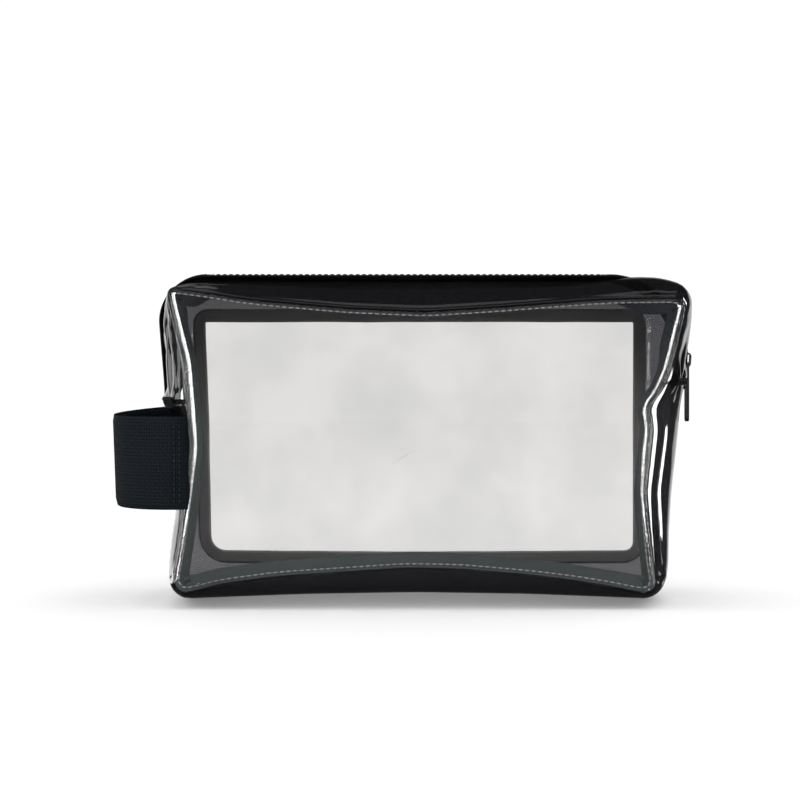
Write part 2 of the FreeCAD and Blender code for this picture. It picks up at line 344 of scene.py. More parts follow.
def stage_finish():
    finish = Finish(bpy.data.materials.new("pale_stage"))
    patch = finish.noise(0.6, 2.0)
    colour = finish.ramp(patch, (0.2, grey(0.735)), (0.9, grey(0.76)))
    surface = finish.principled(
        Base_Color=colour, Roughness=0.9, Specular_IOR_Level=0.0, Emission_Color=grey(1.0),
        Emission_Strength=0.17,
    )
    return finish.finished(surface)


# ------------------------------------------------------------------------------------------
# Loops round the bag
# ------------------------------------------------------------------------------------------


def rounded_loop(corners, radii):
    """Points round a loop with rounded corners. Every loop has the same number of points, and
    the same point of each corner and side has the same number."""
    corners = [np.array(c, float) for c in corners]
    arcs = []
    for k, corner in enumerate(corners):
        back = corners[k - 1] - corner
        on = corners[(k + 1) % 4] - corner
        back, on = back / np.linalg.norm(back), on / np.linalg.norm(on)
        half = math.acos(float(back @ on)) / 2
        middle = (back + on) / np.linalg.norm(back + on)
        centre = corner + middle * radii[k] / math.sin(half)
        spoke = corner + back * radii[k] / math.tan(half) - centre
        turn = PI - 2 * half
        arc = []
        for j in range(CORNER_STEPS + 1):
            a = turn * j / CORNER_STEPS
            spun_x = spoke[0] * math.cos(a) - spoke[1] * math.sin(a)
            spun_z = spoke[0] * math.sin(a) + spoke[1] * math.cos(a)
            arc.append(centre + np.array([spun_x, spun_z]))
        arcs.append(arc)
    points = []
    for k, arc in enumerate(arcs):
        start, end = arc[-1], arcs[(k + 1) % 4][0]
        points += arc[:-1]
        points += [start + (end - start) * j / SIDE_STEPS for j in range(SIDE_STEPS)]
    return np.array(points)


STATIONS = 4 * (SIDE_STEPS + CORNER_STEPS)
FOOT, RIGHT, TOP, LEFT = 0, 1, 2, 3


def outward(loop):
    """Unit directions out of a loop at each of its points."""
    along = np.roll(loop, -1, 0) - np.roll(loop, 1, 0)
    along /= np.linalg.norm(along, axis=1)[:, None]
    return np.stack([along[:, 1], -along[:, 0]], 1)


def softened(values, passes):
    for _ in range(passes):
        values = (np.roll(values, 1, 0) + 2 * values + np.roll(values, -1, 0)) / 4
    return values


def pulled_in(loop, pulls):
    """A loop whose sides pull in from the straight."""
    depths = np.zeros(STATIONS)
    for side, pairs in enumerate(pulls):
        first = side * (SIDE_STEPS + CORNER_STEPS) + CORNER_STEPS
        shares, sizes = zip(*pairs)
        depths[first:first + SIDE_STEPS] = np.interp(np.arange(SIDE_STEPS) / SIDE_STEPS, shares, sizes)
    depths = softened(depths, 3) * MM
    return loop - outward(loop) * depths[:, None]


def hump(values, middle, spread):
    """1 at the middle, falling away on both sides of it."""
    return np.exp(-(((values - middle) / spread) ** 2))


def rising(distance, width):
    """0 up to a distance of 0, rising evenly to 1 at the width."""
    return np.clip(distance / width, 0, 1)


def on_side(side):
    """1 along one side of the loop, fading out through its corners."""
    mask = np.zeros(STATIONS)
    first = side * (SIDE_STEPS + CORNER_STEPS) + CORNER_STEPS
    mask[first:first + SIDE_STEPS] = 1
    return softened(mask, 12)


WAIST_Z = 40 * MM
WAISTS = {LEFT: (3.6 * MM, 20 * MM), RIGHT: (1.0 * MM, 30 * MM)}  # how far in, over what height


def crest_loop():
    """The bag's outline at the middle of its depth, which is the zipper's own line above the end
    tabs. Below them both sides have a slight waist."""
    loop = pulled_in(rounded_loop(OUTLINE, CREST_RADII), CREST_PULLS)
    waist = 0
    for end, (depth, spread) in WAISTS.items():
        waist = waist + depth * hump(loop[:, 1], WAIST_Z, spread) * on_side(end)
    return loop - outward(loop) * waist[:, None]


CREST = crest_loop()
CREST_OUT = outward(CREST)


def run_lengths(loop):
    steps = np.linalg.norm(np.roll(loop, -1, 0) - loop, axis=1)
    return np.concatenate([[0], np.cumsum(steps)])


CREST_RUN = run_lengths(CREST)


def joint_station(loop, side, z):
    """The station on a side of a loop nearest to a height."""
    first = side * (SIDE_STEPS + CORNER_STEPS) + CORNER_STEPS
    at = np.arange(first, first + SIDE_STEPS)
    return int(at[np.argmin(np.abs(loop[at, 1] - z))])


RIGHT_JOINT = joint_station(CREST, RIGHT, JOINT_RIGHT_Z)
LEFT_JOINT = joint_station(CREST, LEFT, JOINT_LEFT_Z)


def keyed(loop, heights):
    """A seam's points moved along it, so that they lie beside the crest's at the middles of the
    corners and at the end tabs."""
    corners = [k * (SIDE_STEPS + CORNER_STEPS) + CORNER_STEPS // 2 for k in range(4)]
    crest_keys = sorted(corners + [RIGHT_JOINT, LEFT_JOINT])
    tabs = [joint_station(loop, RIGHT, heights[0]), joint_station(loop, LEFT, heights[1])]
    seam_keys = sorted(corners + tabs)
    run = run_lengths(loop)
    here, there = CREST_RUN[crest_keys], run[seam_keys]
    here = np.concatenate([[here[-1] - CREST_RUN[-1]], here, [here[0] + CREST_RUN[-1]]])
    there = np.concatenate([[there[-1] - run[-1]], there, [there[0] + run[-1]]])
    even = CREST_RUN[:-1] * run[-1] / CREST_RUN[-1]
    target = (even + softened(np.interp(CREST_RUN[:-1], here, there) - even, 60)) % run[-1]
    closed = np.concatenate([loop, loop[:1]])
    return np.stack([np.interp(target, run, closed[:, k]) for k in range(2)], 1)


def seam_loop(side, corners, radii, pulls):
    return keyed(pulled_in(rounded_loop(corners, radii), pulls), SEAM_TAB_HEIGHTS[side])


SEAMS = {
    FRONT: seam_loop(FRONT, FRONT_SEAM, FRONT_SEAM_RADII, FRONT_SEAM_PULLS),
    BACK: seam_loop(BACK, BACK_SEAM, BACK_SEAM_RADII, BACK_SEAM_PULLS),
}
SEAM_OUT = {side: outward(loop) for side, loop in SEAMS.items()}
UPPER_STATIONS = list(range(RIGHT_JOINT, LEFT_JOINT + 1))
LOWER_STATIONS = list(range(LEFT_JOINT, STATIONS)) + list(range(0, RIGHT_JOINT + 1))


# ------------------------------------------------------------------------------------------
# Mesh helpers
# ------------------------------------------------------------------------------------------


def piece(name, verts, faces, finish, uvs):
    """A mesh object with one finish that rides on the bag. uvs holds a pair for each vertex."""
    mesh = bpy.data.meshes.new(name)
    mesh.from_pydata([tuple(v) for v in verts], [], [tuple(f) for f in faces])
    mesh.materials.append(finish)
    layer = mesh.uv_layers.new(name="cloth")
    index = np.zeros(len(mesh.loops), int)
    mesh.loops.foreach_get("vertex_index", index)
    layer.data.foreach_set("uv", np.array(uvs, np.float32)[index].ravel())
    mesh.polygons.foreach_set("use_smooth", [True] * len(mesh.polygons))
    mesh.update()
    made = bpy.data.objects.new(name, mesh)
    bpy.context.scene.collection.objects.link(made)
    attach(made, BAG)
    return made


def grid_faces(rows, columns, closed_rows=False, closed_columns=False, start=0):
    faces = []
    for i in range(rows if closed_rows else rows - 1):
        for j in range(columns if closed_columns else columns - 1):
            near, far = start + i * columns, start + (i + 1) % rows * columns
            j2 = (j + 1) % columns
            faces.append((near + j, far + j, far + j2, near + j2))
    return faces


def thicken(made, thickness, offset=-1.0):
    solidify = made.modifiers.new("thickness", "SOLIDIFY")
    solidify.thickness = thickness
    solidify.offset = offset


def bevel(made, width, segments):
    rounding = made.modifiers.new("rounding", "BEVEL")
    rounding.width = width
    rounding.segments = segments
    rounding.limit_method = "ANGLE"
    rounding.angle_limit = math.radians(40)


def unit(vectors):
    return vectors / np.maximum(np.linalg.norm(vectors, axis=-1, keepdims=True), 1e-12)


def grid_normals(grid):
    """Directions out of a grid of points, to the left of its rows."""
    return unit(np.cross(np.gradient(grid, axis=1), np.gradient(grid, axis=0)))


def to_space(flat, y=0.0):
    """Points or directions seen from the front, set at a depth."""
    return np.stack([flat[:, 0], np.full(len(flat), y), flat[:, 1]], 1)


def path_run(path):
    """How far along a path each of its points is."""
    return np.concatenate([[0], np.cumsum(np.linalg.norm(np.diff(path, axis=0), axis=1))])


def run_uvs(along, across):
    u, v = np.meshgrid(along, across, indexing="ij")
    return np.stack([u, v], -1).reshape(-1, 2)


def grid_piece(name, grid, finish):
    """A piece from a grid of points. Its uvs are distances along and across the grid, in metres."""
    rows, columns = grid.shape[:2]
    uvs = run_uvs(path_run(grid[:, columns // 2]), path_run(grid[rows // 2]))
    return piece(name, grid.reshape(-1, 3), grid_faces(rows, columns), finish, uvs)


def sweep(path, sides_a, sides_b, section, closed=False):
    """Points of a section carried along a path. Each section point is a pair of distances along
    the path's two side directions."""
    grid = np.zeros((len(path), len(section), 3))
    for j, (a, b) in enumerate(section):
        grid[:, j] = path + sides_a * a + sides_b * b
    rows, columns = grid.shape[:2]
    faces = grid_faces(rows, columns, closed_rows=closed, closed_columns=True)
    if not closed:
        faces.append(tuple(range(columns)))
        faces.append(tuple(range((rows - 1) * columns, rows * columns))[::-1])
    return grid.reshape(-1, 3), faces, run_uvs(path_run(path), path_run(np.array(section)))


def flat_section(width, thickness, steps=5):
    """A flat band's section with rounded edges, as pairs (across, up)."""
    half, round_over = width / 2 - thickness / 2, thickness / 2
    points = []
    for side in (1, -1):
        for j in range(steps + 1):
            a = -PI / 2 + PI * j / steps
            points.append((side * (half + round_over * math.cos(a)), side * round_over * math.sin(a)))
    return points


def ring_section(radius, sides=6):
    turns = [2 * PI * j / sides for j in range(sides)]
    return [(radius * math.cos(a), radius * math.sin(a)) for a in turns]


def resampled(path, step):
    """Points along a path an even distance apart."""
    run = path_run(path)
    count = max(2, int(round(run[-1] / step)) + 1)
    at = np.linspace(0, run[-1], count)
    return np.stack([np.interp(at, run, path[:, k]) for k in range(path.shape[1])], 1)


STITCH_SHARE = 0.72  # of the pitch
STITCH_RADIUS = 0.28 * MM
STITCH_RINGS, STITCH_SIDES = 6, 5


def stitch_row(name, path, up, pitch, finish, sink=0.0):
    """Separate stitches along a path. up holds the direction off the cloth at each point."""
    both = resampled(np.concatenate([path, up], 1), pitch)
    points, ups = both[:, :3] + unit(both[:, 3:]) * -sink, unit(both[:, 3:])
    verts, faces, uvs = [], [], []
    for k in range(len(points) - 1):
        start, end, lift = points[k], points[k + 1], ups[k]
        along = end - start
        span = np.linalg.norm(along) * STITCH_SHARE
        along = unit(along)
        aside = unit(np.cross(along, lift))
        base = len(verts)
        for i in range(STITCH_RINGS):
            share = i / (STITCH_RINGS - 1)
            fat = math.sin(PI * min(max(share, 0.06), 0.94)) ** 0.5
            middle = start + along * span * share + lift * STITCH_RADIUS * (fat - 0.35)
            for j in range(STITCH_SIDES):
                a = 2 * PI * j / STITCH_SIDES
                spoke = aside * math.cos(a) + lift * math.sin(a) * 0.8
                verts.append(middle + spoke * STITCH_RADIUS * fat)
                uvs.append((span * share, STITCH_RADIUS * a))
        faces += grid_faces(STITCH_RINGS, STITCH_SIDES, closed_columns=True, start=base)
        faces.append(tuple(range(base, base + STITCH_SIDES)))
        last = base + (STITCH_RINGS - 1) * STITCH_SIDES
        faces.append(tuple(range(last, last + STITCH_SIDES))[::-1])
    return piece(name, verts, faces, finish, uvs)


def waves(points, size, seed):
    """Smooth random heights from -1 to 1 at points, with hills of about that size."""
    shift = Vector((seed * 13.7, seed * 7.3, seed * 3.1))
    return np.array([noise.noise(Vector(p) / size + shift) for p in points])


# ------------------------------------------------------------------------------------------
# Film
# ------------------------------------------------------------------------------------------

# Where the wall has points, from 0 at the seam to 1 at the middle of the depth.
EDGE_SHARES = (
    [0, 0.012, 0.026, 0.042, 0.06, 0.08]
    + [0.1 + 0.0175 * k for k in range(25)]
    + [0.54, 0.58, 0.63, 0.69, 0.76, 0.83, 0.91, 1.0]
)
ZIP_SHARE = 1 - ZIP_EDGE_Y / SEAM_Y
FLAT_ROUNDNESS, END_ROUNDNESS = 1.4, 2.0
PUFF_ALL, PUFF_RIGHT, PUFF_CORNER = 0.3 * MM, 0.5 * MM, 6.4 * MM
PUFF_CORNER_SHIFT, PUFF_CORNER_SPREAD = 1 * MM, 19 * MM


def corner_run(corner):
    """How far round the crest the middle of a corner is."""
    return CREST_RUN[corner * (SIDE_STEPS + CORNER_STEPS) + CORNER_STEPS // 2]


def near_run(run, spread):
    """1 at one place round the crest, falling away on both sides of it."""
    away = np.abs((CREST_RUN[:-1] - run + CREST_RUN[-1] / 2) % CREST_RUN[-1] - CREST_RUN[-1] / 2)
    return hump(away, 0, spread)


def film_puff():
    """How far the film stands out beyond a straight run from seam to crest, at each station."""
    puff = PUFF_ALL + PUFF_RIGHT * on_side(RIGHT)
    puff += PUFF_CORNER * near_run(corner_run(TOP_RIGHT_CORNER) + PUFF_CORNER_SHIFT, PUFF_CORNER_SPREAD)
    return puff


PUFF = film_puff()
ROUNDNESS = FLAT_ROUNDNESS + (END_ROUNDNESS - FLAT_ROUNDNESS) * np.maximum(on_side(LEFT), on_side(RIGHT))


def wall_base(station, share, side):
    """A point of the wall. share runs from 0 at the seam to 1 at the middle of the depth."""
    radial = 1 - (1 - share) ** ROUNDNESS[station]
    x, z = SEAMS[side][station] * (1 - radial) + CREST[station] * radial
    bulge = PUFF[station] * math.sin(PI * min(share / ZIP_SHARE, 1))
    x += CREST_OUT[station][0] * bulge
    z += CREST_OUT[station][1] * bulge
    return np.array([x, side * SEAM_Y * (1 - share), z])


CREASES = [  # wall, end, heights it runs between, shares of the wall from the seam there, how proud
    (FRONT, LEFT, 123, 86, 0.08, 0.15, 0.8), (FRONT, LEFT, 121, 97, 0.22, 0.30, 0.8),
    (FRONT, LEFT, 115, 99, 0.40, 0.42, 0.5), (FRONT, LEFT, 46, 12, 0.2, 0.16, 0.6),
    (FRONT, RIGHT, 84, 14, 0.22, 0.28, 1.3), (FRONT, RIGHT, 117, 95, 0.40, 0.28, 0.8),
    (BACK, LEFT, 118, 86, 0.2, 0.3, 0.7), (BACK, RIGHT, 60, 14, 0.3, 0.36, 0.7),
]
CREASE_WIDTH = 1.3 * MM


def crease_heights(share, z, on_sides, wall):
    """Heights of the sharp folds that run up the ends."""
    height = np.zeros(len(z))
    for crease_wall, side, start, end, start_share, end_share, proud in CREASES:
        if crease_wall != wall:
            continue
        along = (z - start * MM) / ((end - start) * MM)
        middle = start_share + (end_share - start_share) * along + 0.012 * np.sin(along * 9)
        taper = np.clip(np.minimum(along, 1 - along) * 5, 0, 1)
        height += proud * MM * taper * hump((share - middle) * SEAM_Y, 0, CREASE_WIDTH) * on_sides[side]
    return height


SWELLS = [(0.45 * MM, 34 * MM, 1), (0.2 * MM, 13 * MM, 3)]  # height, width and draw
TAB_END_Y = 26 * MM
# How far the end tabs draw the film in: x, z and depth.
PINCHES = [(-106.5 * MM, JOINT_LEFT_Z, 1.8 * MM), (107.4 * MM, JOINT_RIGHT_Z, 0.8 * MM)]
PUCKER_HEIGHT, PUCKER_PITCH, PUCKER_SHARE = 0.3 * MM, 7.5 * MM, 0.28
LIP_WIDTH, LIP_HEIGHT, LIP_LESS_ON_TOP = 4.6 * MM, 1.0 * MM, 0.6 * MM
FLAT_EDGE_SHARE = 0.12


def end_folds(x, z, share):
    """Heights of the long soft folds that run up the ends from the foot and from the tabs."""
    at_left = hump(x, FOOT_LEFT, 16 * MM)
    at_right = hump(x, FOOT_RIGHT + 5 * MM, 14 * MM)
    left = np.sin(share * 25 + z * 60 + 0.8) * rising(z - 70 * MM, 30 * MM)
    left *= rising(140 * MM - z, 30 * MM)
    low = np.sin(share * 13 - z * 30) * rising(60 * MM - z, 30 * MM)
    right = np.sin(share * 11 + z * 26 + 2.0) * hump(z, 98 * MM, 22 * MM)
    return 0.55 * MM * left * at_left, 0.4 * MM * low * (at_left + at_right), 0.45 * MM * right * at_right


def fold_heights(grid, stations, shares, side):
    """Heights of the film's folds over a grid of wall points."""
    flat = grid.reshape(-1, 3)
    x, y, z = flat[:, 0], flat[:, 1], flat[:, 2]
    share = np.tile(np.array(shares), len(stations))
    soft = np.sin(PI * np.clip(share * 1.3, 0, 1)) ** 0.7
    height = np.zeros(len(flat))
    for rise, size, draw in SWELLS:
        height += rise * waves(flat, size, draw + side) * soft
    for folds in end_folds(x, z, share):
        height += folds * soft
    on_sides = {end: np.repeat(on_side(end)[stations], len(shares)) for end in (LEFT, RIGHT)}
    height += crease_heights(share, z, on_sides, side)
    # The end tabs draw the film in, and folds fan out from their ends.
    for pinch_x, pinch_z, depth in PINCHES:
        near = hump(x, pinch_x, 12 * MM)
        height -= depth * hump(z, pinch_z, 4.5 * MM) * near * np.clip(share * 4, 0, 1)
        turned = np.arctan2(np.abs(y) - TAB_END_Y, z - pinch_z)
        away = np.hypot(np.abs(y) - TAB_END_Y, z - pinch_z)
        fan = 0.5 * MM * np.cos(7 * turned) * np.exp(-away / (13 * MM))
        height += fan * near * rising(away, 5 * MM) * soft
    # Short puckers where the seams turn the corners.
    at_corners = sum(near_run(corner_run(k), 20 * MM) for k in range(CORNERS))
    turn = np.repeat(at_corners[stations], len(shares))
    run = np.repeat(CREST_RUN[:-1][stations], len(shares))
    puckers = PUCKER_HEIGHT * turn * np.cos(run * 2 * PI / PUCKER_PITCH)
    height += puckers * hump(share, 0, PUCKER_SHARE) * np.clip(share * 12, 0, 1)
    return height.reshape(grid.shape[:2])


def wall_grid(stations, shares, side):
    """A grid of wall points with folds. Where it stops short of the middle, its edge is flat."""
    grid = np.array([[wall_base(s, share, side) for share in shares] for s in stations])
    normals = grid_normals(grid) * side
    heights = fold_heights(grid, stations, shares, side)
    if shares[-1] < 1:
        heights = heights * rising(1 - np.array(shares), FLAT_EDGE_SHARE)[None, :]
    # A narrow rolled lip beside the seam.
    from_seam = np.linalg.norm(grid - grid[:, :1], axis=2)
    lip_height = (LIP_HEIGHT - LIP_LESS_ON_TOP * on_side(TOP))[stations][:, None]
    lip = lip_height * np.sin(PI * rising(from_seam, LIP_WIDTH))
    return grid + normals * (heights + lip)[:, :, None]


def lower_film(finish):
    """The gusset, one strip round the foot and up both ends to the tabs."""
    front = wall_grid(LOWER_STATIONS, EDGE_SHARES, FRONT)
    back = wall_grid(LOWER_STATIONS, EDGE_SHARES, BACK)
    middle = (front[:, -1] + back[:, -1]) / 2
    front[:, -1] = middle
    grid = np.concatenate([front, back[:, -2::-1]], 1)
    grid[:, :, 2] = np.maximum(grid[:, :, 2], 0.0)
    made = grid_piece("gusset_film", grid, finish)
    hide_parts("lower_gusset")
    thicken(made, FILM)


def strip_film(side, finish):
    """The film between one seam and the zipper, flat at its edge beside the chain."""
    shares = [s * ZIP_SHARE for s in EDGE_SHARES]
    grid = wall_grid(UPPER_STATIONS, shares, side)
    name = WALL_NAMES[side]
    if side == BACK:
        grid = grid[:, ::-1]
    made = grid_piece("strip_film_" + name, grid, finish)
    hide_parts("zipper_strip_" + name)
    thicken(made, FILM)


# Rings of a panel, from 0 at the seam to 1 at its centre.
PANEL_RINGS = [
    0, 0.006, 0.012, 0.02, 0.03, 0.045, 0.065, 0.09, 0.12, 0.16, 0.2, 0.25, 0.3, 0.36, 0.42, 0.49, 0.56,
    0.64, 0.72, 0.8, 0.88, 0.95,
]
PANEL_CROWN = 1.6 * MM
PANEL_SWELLS = [(0.9 * MM, 60 * MM, 11), (0.25 * MM, 22 * MM, 17)]  # height, width and draw


def panel_roll(side, z, from_seam):
    """How far a panel stands out from its seam. The front one rolls more boldly higher up."""
    bold = rising(z - 25 * MM, 40 * MM) if side == FRONT else 0 * z
    return (0.7 + 1.5 * bold) * MM * (1 - np.exp(-from_seam / ((1.4 + 0.6 * bold) * MM)))


def panel_film(side, finish):
    """A clear panel. Its edge rolls back to the seam, and its middle stands out a little."""
    seam = SEAMS[side]
    centre = seam.mean(0)
    reach = np.linalg.norm(seam - centre, axis=1)
    verts, uvs = [], []
    for ring in PANEL_RINGS:
        flat = centre + (seam - centre) * (1 - ring)
        from_seam = reach * ring
        out = panel_roll(side, seam[:, 1], from_seam) + PANEL_CROWN * (1 - (1 - ring) ** 2)
        points = to_space(flat, side * SEAM_Y)
        for rise, size, draw in PANEL_SWELLS:
            out = out + rise * waves(points, size, draw + side) * rising(from_seam, 6 * MM)
        points[:, 1] += side * out
        verts.append(points)
        uvs.append(flat)
    verts = np.concatenate(verts)
    uvs = np.concatenate(uvs)
    faces = grid_faces(len(PANEL_RINGS), STATIONS, closed_columns=True)
    last = (len(PANEL_RINGS) - 1) * STATIONS
    hub = np.array([[centre[0], verts[last:, 1].mean(), centre[1]]])
    verts = np.concatenate([verts, hub])
    uvs = np.concatenate([uvs, centre[None, :]])
    faces += [(last + j, len(verts) - 1, last + (j + 1) % STATIONS) for j in range(STATIONS)]
    if side == FRONT:
        faces = [f[::-1] for f in faces]
    made = piece(WALL_NAMES[side] + "_panel_film", verts, faces, finish, uvs)
    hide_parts(WALL_NAMES[side] + "_panel")
    thicken(made, FILM)


# ------------------------------------------------------------------------------------------
# Binding and seam stitches
# ------------------------------------------------------------------------------------------

BINDING_WIDTH = {FRONT: 6.6 * MM, BACK: 7.4 * MM}
BINDING_THICKNESS = 1.3 * MM
SEAM_STITCH_INSET, SEAM_STITCH_PITCH = 1.6 * MM, 2.6 * MM
BACK_LEAN = 38
FRONT_LEANS = {LEFT: 42, RIGHT: 56, TOP: 80, FOOT: 15}


def binding_lean(side):
    """How far the bound seam allowance is folded down from the panel into the bag, in radians.
    At the front it stands nearly upright along the top and lies flat along the foot."""
    if side == BACK:
        return np.full(STATIONS, math.radians(BACK_LEAN))
    degrees = sum(lean * on_side(end) for end, lean in FRONT_LEANS.items())
    total = sum(on_side(end) for end in FRONT_LEANS)
    return np.radians(degrees / np.maximum(total, 0.2))


def binding_frame(side):
    """The binding's middle line, its direction across and its direction off the panel."""
    seam, out = SEAMS[side], SEAM_OUT[side]
    lean = softened(binding_lean(side), 8)
    inward = -to_space(out)
    deeper = -side * ACROSS[None, :]
    across = inward * np.cos(lean)[:, None] + deeper * np.sin(lean)[:, None]
    off = np.cross(across, np.cross(inward, deeper))
    off = unit(off) * np.sign((off * -deeper).sum(1) + 1e-9)[:, None]
    edge = to_space(seam, side * (SEAM_Y - 0.6 * MM))
    edge = edge - inward * 0.5 * MM
    wave = 0.25 * MM * waves(edge, 18 * MM, 23 + side)
    middle = edge + across * (BINDING_WIDTH[side] / 2 + wave[:, None])
    return middle, across, off


def binding(side, tape, thread):
    """The tape over one seam's allowance, and the stitches of that seam."""
    name = WALL_NAMES[side]
    middle, across, off = binding_frame(side)
    section = flat_section(BINDING_WIDTH[side], BINDING_THICKNESS)
    verts, faces, uvs = sweep(middle, across, off, section, closed=True)
    made = piece(name + "_binding_tape", verts, faces, tape, uvs)
    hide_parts(name + "_binding")
    seam, out = SEAMS[side], SEAM_OUT[side]
    lift = panel_roll(side, seam[:, 1], SEAM_STITCH_INSET)
    row = to_space(seam - out * SEAM_STITCH_INSET, side * (SEAM_Y + lift))
    closed = np.concatenate([row, row[:1]])
    ups = np.tile([0.0, side, 0.0], (len(closed), 1))
    stitches = stitch_row(name + "_seam_stitches", closed, ups, SEAM_STITCH_PITCH, thread)
    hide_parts(name + "_seam_thread")


# ------------------------------------------------------------------------------------------
# Zipper
# ------------------------------------------------------------------------------------------

TAPE_INNER_Y, TAPE_OUTER_Y = 1.0 * MM, 16.0 * MM
TAPE_DEPTH = 0.62 * MM  # from the outline down to the tape
CLOTH_THICKNESS = 0.5 * MM
TOOTH_PITCH = 1.4 * MM
TOOTH_WIRE = 0.34 * MM
TURN_STEPS = 16  # points in one turn of a coil
COIL_Y, COIL_REACH = 1.45 * MM, 1.75 * MM
COIL_DROP, COIL_RISE = 0.2 * MM, 0.5 * MM
ZIP_STITCH_Y, ZIP_STITCH_SINK = 10 * MM, 0.5 * MM
TAB_REACH = 4  # stations to either side of an end tab's middle
TAB_ROWS = 7
TAB_STITCH_PITCH = 2.4 * MM
TAB_HEIGHTS = {RIGHT: 3.0 * MM, LEFT: 4.6 * MM}
PULL_CLEARANCE = 4.5 * MM  # the end tabs are not stitched where the pull hangs over them


def zipper_track(extra):
    """The zipper's line: points, directions along it and directions out of the bag. extra is
    how many stations it runs on under each end tab."""
    stations = np.arange(RIGHT_JOINT - extra, LEFT_JOINT + extra + 1)
    flat, out = CREST[stations], CREST_OUT[stations]
    return to_space(flat), to_space(out)


def zipper_tape(side, finish):
    name = WALL_NAMES[side]
    path, out = zipper_track(3)
    rows = np.linspace(TAPE_INNER_Y, TAPE_OUTER_Y, 9)
    grid = np.stack([path - out * TAPE_DEPTH + side * ACROSS * row for row in rows], 1)
    if side == FRONT:
        grid = grid[:, ::-1]
    made = grid_piece("zipper_tape_" + name + "_weave", grid, finish)
    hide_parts("zipper_tape_" + name)
    thicken(made, CLOTH_THICKNESS)


def coil_path(side):
    """One nylon coil: flattened turns that lean into the other coil's."""
    path, out = zipper_track(-3)
    both = resampled(np.concatenate([path, out], 1), TOOTH_PITCH / TURN_STEPS)
    shift = 0 if side == FRONT else PI
    angle = 2 * PI * np.arange(len(both)) / TURN_STEPS + shift
    reach = COIL_Y - COIL_REACH * np.cos(angle)
    height = COIL_RISE * np.sin(angle) - COIL_DROP
    return both[:, :3] + unit(both[:, 3:]) * height[:, None] + side * ACROSS * reach[:, None]


def wire(path, radius):
    """A round wire along a path."""
    along = unit(np.gradient(path, axis=0))
    a = unit(np.cross(along, ACROSS) + 1e-6)
    b = np.cross(along, a)
    return sweep(path, a, b, ring_section(radius))


def zipper_coil(side, finish):
    verts, faces, uvs = wire(coil_path(side), TOOTH_WIRE)
    made = piece("zipper_teeth_" + WALL_NAMES[side], verts, faces, finish, uvs)
    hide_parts("zipper_coil_" + WALL_NAMES[side])


def zipper_stitches(side, finish):
    path, out = zipper_track(-2)
    row = path + out * 0.9 * MM + side * ACROSS * ZIP_STITCH_Y
    name = "zipper_stitches_" + WALL_NAMES[side]
    made = stitch_row(name, row, out, SEAM_STITCH_PITCH, finish, sink=ZIP_STITCH_SINK)
    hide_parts("zipper_thread_" + WALL_NAMES[side])


def end_tab(side, station, finish, thread):
    """A woven band over the end of the zipper, from seam to seam."""
    name = "right" if side == RIGHT else "left"
    stations = [station + k for k in range(-TAB_REACH, TAB_REACH + 1)]
    first = sum(share * SEAM_Y <= SEAM_Y - TAB_HALF_WIDTH for share in EDGE_SHARES)
    front = wall_grid(stations, EDGE_SHARES, FRONT)[:, first:]
    back = wall_grid(stations, EDGE_SHARES, BACK)[:, first:]
    grid = np.concatenate([front, back[:, -2::-1]], 1)
    out = grid_normals(grid)
    out = np.where((out[:, :, 0] * (1 if side == RIGHT else -1))[:, :, None] < 0, -out, out)
    grid = grid + out * 0.6 * MM
    run = CREST_RUN[stations] - CREST_RUN[station]
    rows = np.linspace(-TAB_HEIGHTS[side] / 2, TAB_HEIGHTS[side] / 2, TAB_ROWS)
    band = np.array([
        [[np.interp(row, run, grid[:, j, k]) for k in range(3)] for j in range(grid.shape[1])] for row in rows
    ])
    out = out[TAB_REACH]
    made = grid_piece("zipper_end_tab_" + name, band, finish)
    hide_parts("end_tab_" + name)
    thicken(made, CLOTH_THICKNESS, 0.0)
    bevel(made, 0.2 * MM, 2)
    for row, edge in ((1, "low"), (TAB_ROWS - 2, "high")):
        line = band[row] + out * 0.25 * MM
        for half, kept in (("front", line[:, 1] < -PULL_CLEARANCE), ("back", line[:, 1] > PULL_CLEARANCE)):
            row_name = f"end_tab_{name}_stitches_{edge}_{half}"
            stitch_row(row_name, line[kept], out[kept], TAB_STITCH_PITCH, thread)


# ------------------------------------------------------------------------------------------
# Handle
# ------------------------------------------------------------------------------------------

WEBBING_WIDTH, WEBBING_THICKNESS = 36.5 * MM, 1.6 * MM
HANDLE_TURNS = [  # seen from above, from the front seam round to the back seam
    (-93.0, -36.6), (-97.0, -40.3), (-104.0, -40.6), (-113.0, -37.0), (-120.6, -28.5), (-125.2, -15.0),
    (-126.6, 0.0), (-124.8, 14.0), (-119.2, 27.0), (-110.4, 35.6), (-104.0, 38.8), (-99.5, 37.0),
]
HANDLE_FRONT_Z, HANDLE_BACK_Z = 57.3 * MM, 62.2 * MM
SECTION_STEPS = 14
WEBBING_EDGE = 1.2 * MM  # where the webbing thins towards its edges
HANDLE_STITCHES = 24
HANDLE_STITCH_INSET, HANDLE_STITCH_PITCH = 2.5 * MM, 2.3 * MM
HANDLE_ROW_GAP = 2.2 * MM


def smooth_path(points, per_span=12):
    """A smooth line through points."""
    points = np.array(points, float)
    padded = np.concatenate([[2 * points[0] - points[1]], points, [2 * points[-1] - points[-2]]])
    line = []
    for k in range(len(points) - 1):
        p0, p1, p2, p3 = padded[k:k + 4]
        for j in range(per_span):
            t = j / per_span
            squared = (2 * p0 - 5 * p1 + 4 * p2 - p3) * t * t
            cubed = (3 * p1 - p0 - 3 * p2 + p3) * t ** 3
            line.append(0.5 * (2 * p1 + (p2 - p0) * t + squared + cubed))
    line.append(points[-1])
    return np.array(line)


